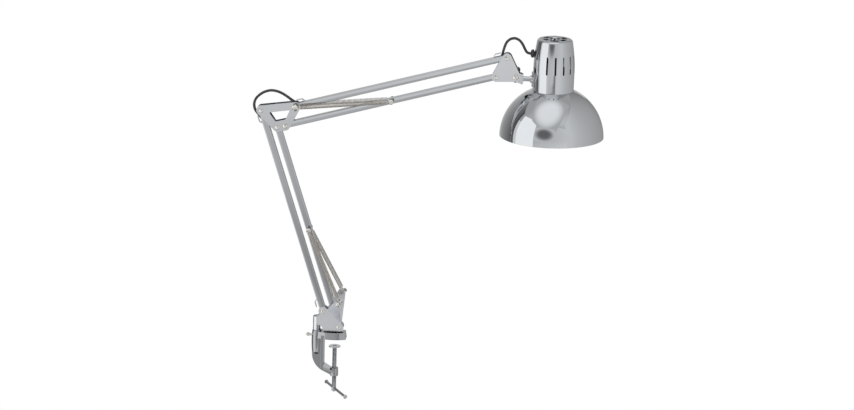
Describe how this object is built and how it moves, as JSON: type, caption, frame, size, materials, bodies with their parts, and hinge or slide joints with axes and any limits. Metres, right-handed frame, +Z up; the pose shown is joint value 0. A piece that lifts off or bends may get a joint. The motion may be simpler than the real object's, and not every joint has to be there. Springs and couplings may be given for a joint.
{
  "type": "clamp lamp",
  "caption": "Chromed clamp lamp with a dome shade on a spring balanced double parallelogram arm that swivels in a table clamp.",
  "frame": {"origin": "centre of the clamp jaw's flat underside, on the clamp screw's axis", "axes": "+Z up, +X from the clamp towards the lamp head, the arm in the plane Y = 0"},
  "size_m": [0.5749, 0.17, 0.6207],
  "materials": {
    "chrome": "polished",
    "bright_steel": "satin",
    "spring_steel": "satin",
    "black_cord": "matt",
    "black_plastic": "satin",
    "holder_plastic": "matt",
    "brass": "satin"
  },
  "bodies": {
    "clamp": {"clamp_frame": "chrome"},
    "pad": {"pressure_pad": "bright_steel"},
    "screw": {"clamp_screw": "bright_steel"},
    "tommy": {"tommy_bar": "bright_steel"},
    "thumbscrew": {"swivel_thumbscrew": "bright_steel"},
    "base": {"base_post": "chrome", "base_bracket": "chrome", "base_rivets": "bright_steel", "base_washers": "bright_steel", "base_spring_pins": "bright_steel", "lower_spring_near": "spring_steel", "lower_spring_far": "spring_steel"},
    "lower_rear": {"lower_rear_bar": "chrome", "cord_lower_run": "black_cord"},
    "lower_front": {"lower_front_bar": "chrome", "lower_spring_pin": "bright_steel"},
    "elbow": {"elbow_plate_near": "chrome", "elbow_plate_far": "chrome", "elbow_rivets": "bright_steel", "elbow_washers": "bright_steel", "elbow_spring_pin": "bright_steel", "upper_spring_near": "spring_steel", "upper_spring_far": "spring_steel", "cord_elbow_loop_start": "black_cord", "cord_elbow_loop_end": "black_cord"},
    "upper_lower": {"upper_lower_bar": "chrome", "upper_spring_pin": "bright_steel"},
    "upper_upper": {"upper_upper_bar": "chrome", "cord_upper_run": "black_cord"},
    "head_plates": {"head_plate_near": "chrome", "head_plate_far": "chrome", "head_rivets": "bright_steel", "head_washers": "bright_steel", "tilt_screw": "bright_steel", "tilt_washer": "bright_steel", "cord_head_loop_start": "black_cord", "cord_head_loop_end": "black_cord"},
    "knob": {"tilt_knob": "black_plastic"},
    "head": {"tilt_knuckle": "chrome", "head_rod": "chrome", "rod_nut": "bright_steel", "head_saddle": "chrome", "saddle_rivets": "bright_steel", "housing": "chrome", "housing_cap_nut": "chrome", "shade": "chrome", "lampholder_nipple": "brass", "lampholder_body": "holder_plastic", "lampholder_sleeve": "brass", "lampholder_contact": "brass", "cord_grommet": "black_cord", "cord_head_tail": "black_cord"}
  },
  "joints": [
    {"name": "base_swivel", "type": "hinge", "parent": "clamp", "child": "base", "pos_m": [-0.03, 0, 0], "axis": [0, 0, 1], "continuous": true},
    {"name": "thumbscrew_turn", "type": "hinge", "parent": "clamp", "child": "thumbscrew", "pos_m": [-0.04, 0, 0.004], "axis": [1, 0, 0], "continuous": true},
    {"name": "clamp_feed", "type": "slide", "parent": "clamp", "child": "pad", "axis": [0, 0, 1], "range_m": [-0.033, 0.013]},
    {"name": "screw_turn", "type": "hinge", "parent": "pad", "child": "screw", "pos_m": [0, 0, 0], "axis": [0, 0, 1], "continuous": true},
    {"name": "tommy_bar_slide", "type": "slide", "parent": "screw", "child": "tommy", "axis": [0.4695, -0.8829, 0], "range_m": [-0.042, 0.025]},
    {"name": "lower_arm_tilt", "type": "hinge", "parent": "base", "child": "lower_rear", "pos_m": [-0.0202, 0, 0.0473], "axis": [0, 1, 0], "range_deg": [-10, 95], "deforming": ["lower_spring_near", "lower_spring_far", "cord_elbow_loop_start", "cord_elbow_loop_end"]},
    {"name": "lower_front_tilt", "type": "hinge", "parent": "base", "child": "lower_front", "pos_m": [0.00683, 0, 0.02045], "axis": [0, 1, 0], "range_deg": [-10, 95], "deforming": ["lower_spring_near", "lower_spring_far"]},
    {"name": "elbow_level", "type": "hinge", "parent": "lower_rear", "child": "elbow", "pos_m": [-0.12771, 0, 0.38521], "axis": [0, 1, 0], "range_deg": [-95, 10], "deforming": ["cord_elbow_loop_start", "cord_elbow_loop_end"]},
    {"name": "upper_arm_tilt", "type": "hinge", "parent": "elbow", "child": "upper_upper", "pos_m": [-0.07147, 0, 0.3933], "axis": [0, 1, 0], "range_deg": [-28, 75], "deforming": ["upper_spring_near", "upper_spring_far", "cord_elbow_loop_start", "cord_elbow_loop_end", "cord_head_loop_start", "cord_head_loop_end"]},
    {"name": "upper_bar_tilt", "type": "hinge", "parent": "elbow", "child": "upper_lower", "pos_m": [-0.08785, 0, 0.36102], "axis": [0, 1, 0], "range_deg": [-28, 75], "deforming": ["upper_spring_near", "upper_spring_far"]},
    {"name": "head_level", "type": "hinge", "parent": "upper_upper", "child": "head_plates", "pos_m": [0.27144, 0, 0.48969], "axis": [0, 1, 0], "range_deg": [-75, 28], "deforming": ["cord_head_loop_start", "cord_head_loop_end"]},
    {"name": "head_tilt", "type": "hinge", "parent": "head_plates", "child": "head", "pos_m": [0.28686, 0, 0.45876], "axis": [0, 1, 0], "range_deg": [-35, 50], "deforming": ["cord_head_loop_start", "cord_head_loop_end"]},
    {"name": "tilt_knob_turn", "type": "hinge", "parent": "head_plates", "child": "knob", "pos_m": [0.28686, 0, 0.45876], "axis": [0, 1, 0], "continuous": true}
  ],
  "couplings": [
    {"joint": "lower_front_tilt", "follows": "lower_arm_tilt", "ratio": 1},
    {"joint": "elbow_level", "follows": "lower_arm_tilt", "ratio": -1},
    {"joint": "upper_bar_tilt", "follows": "upper_arm_tilt", "ratio": 1},
    {"joint": "head_level", "follows": "upper_arm_tilt", "ratio": -1}
  ]
}
